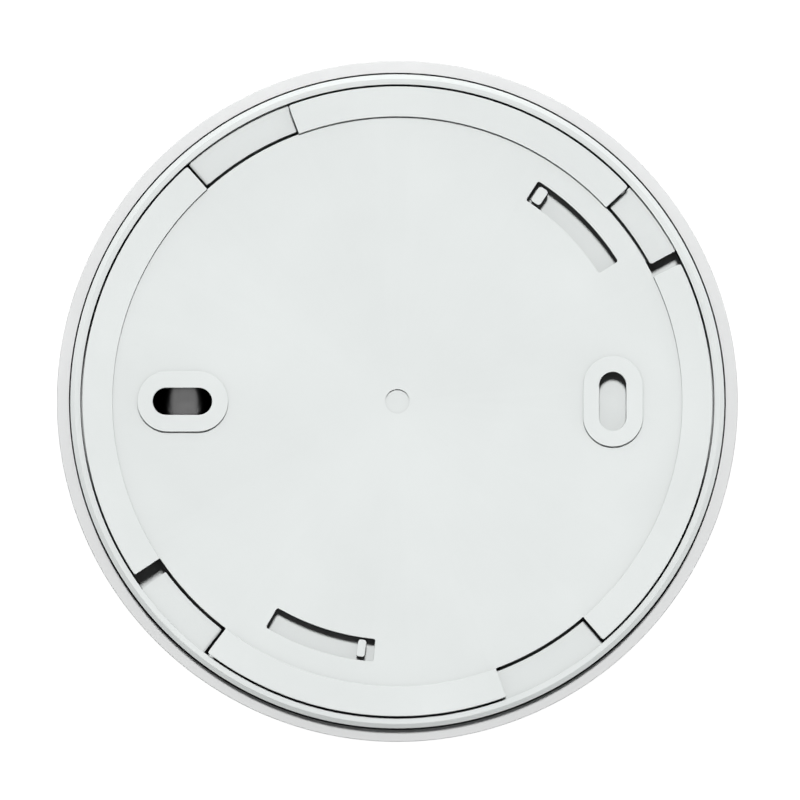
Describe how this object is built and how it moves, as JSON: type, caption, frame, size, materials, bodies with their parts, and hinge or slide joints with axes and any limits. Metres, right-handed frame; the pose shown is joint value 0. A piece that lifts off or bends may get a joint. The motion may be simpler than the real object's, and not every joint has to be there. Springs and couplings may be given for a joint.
{
  "type": "smoke detector",
  "caption": "Round white battery smoke alarm locked on its bayonet ceiling plate, with slotted sides, a central test button in a light ring, and a complete inside.",
  "frame": {"origin": "on the alarm's axis, in the plane where the mounting plate touches the ceiling", "axes": "+Z along the axis towards the ceiling; +X through the plate's upright screw slot"},
  "size_m": [0.0954, 0.0954, 0.0415],
  "materials": {
    "shell_white": "fine satin moulding",
    "cover_white": "fine satin moulding",
    "clear_white": "milky translucent",
    "button_grey": "satin",
    "black_plastic": "matte moulding",
    "battery_wrap": "glossy film with a silvered band",
    "steel": "nickel plated",
    "brass": "rolled sheet",
    "ceramic": "silvered",
    "board": "solder mask",
    "aluminium": "drawn can",
    "tinted_lens": "clear tinted",
    "led_body": "moulded"
  },
  "bodies": {
    "plate": {"mounting_plate": "shell_white"},
    "detector": {"rear_case": "shell_white", "front_cover": "cover_white", "light_ring": "clear_white", "tact_switch_body": "black_plastic", "pcb": "board", "case_screw_1": "steel", "case_screw_2": "steel", "case_screw_3": "steel", "pcb_screw_1": "steel", "pcb_screw_2": "steel", "battery_can": "battery_wrap", "battery_gasket": "black_plastic", "battery_cap": "steel", "battery_contact_positive": "steel", "battery_contact_negative": "steel", "chamber_base": "black_plastic", "chamber_cap": "black_plastic", "insect_screen": "steel", "ir_emitter": "tinted_lens", "photodiode": "black_plastic", "sounder_housing": "black_plastic", "piezo_plate": "brass", "piezo_ceramic": "ceramic", "horn_contact_1": "steel", "horn_contact_2": "steel", "horn_contact_3": "steel", "status_led": "led_body", "microcontroller": "black_plastic", "horn_driver": "black_plastic", "boost_inductor": "black_plastic", "capacitor_1": "aluminium", "capacitor_2": "aluminium", "amplifier_shield": "steel", "crystal": "steel"},
    "button": {"test_button": "button_grey"},
    "switch_plunger": {"tact_switch_plunger": "button_grey"}
  },
  "joints": [
    {"name": "detector_twist", "type": "hinge", "parent": "plate", "child": "detector", "pos_m": [0, 0, 0], "axis": [0, 0, 1], "range_deg": [-20, 0]},
    {"name": "button_press", "type": "slide", "parent": "detector", "child": "button", "axis": [0, 0, 1], "range_m": [0, 0.0008], "stiffness_N_per_m": 1500},
    {"name": "switch_press", "type": "slide", "parent": "detector", "child": "switch_plunger", "axis": [0, 0, 1], "range_m": [0, 0.0008]}
  ],
  "couplings": [
    {"joint": "switch_press", "follows": "button_press", "ratio": 1}
  ]
}
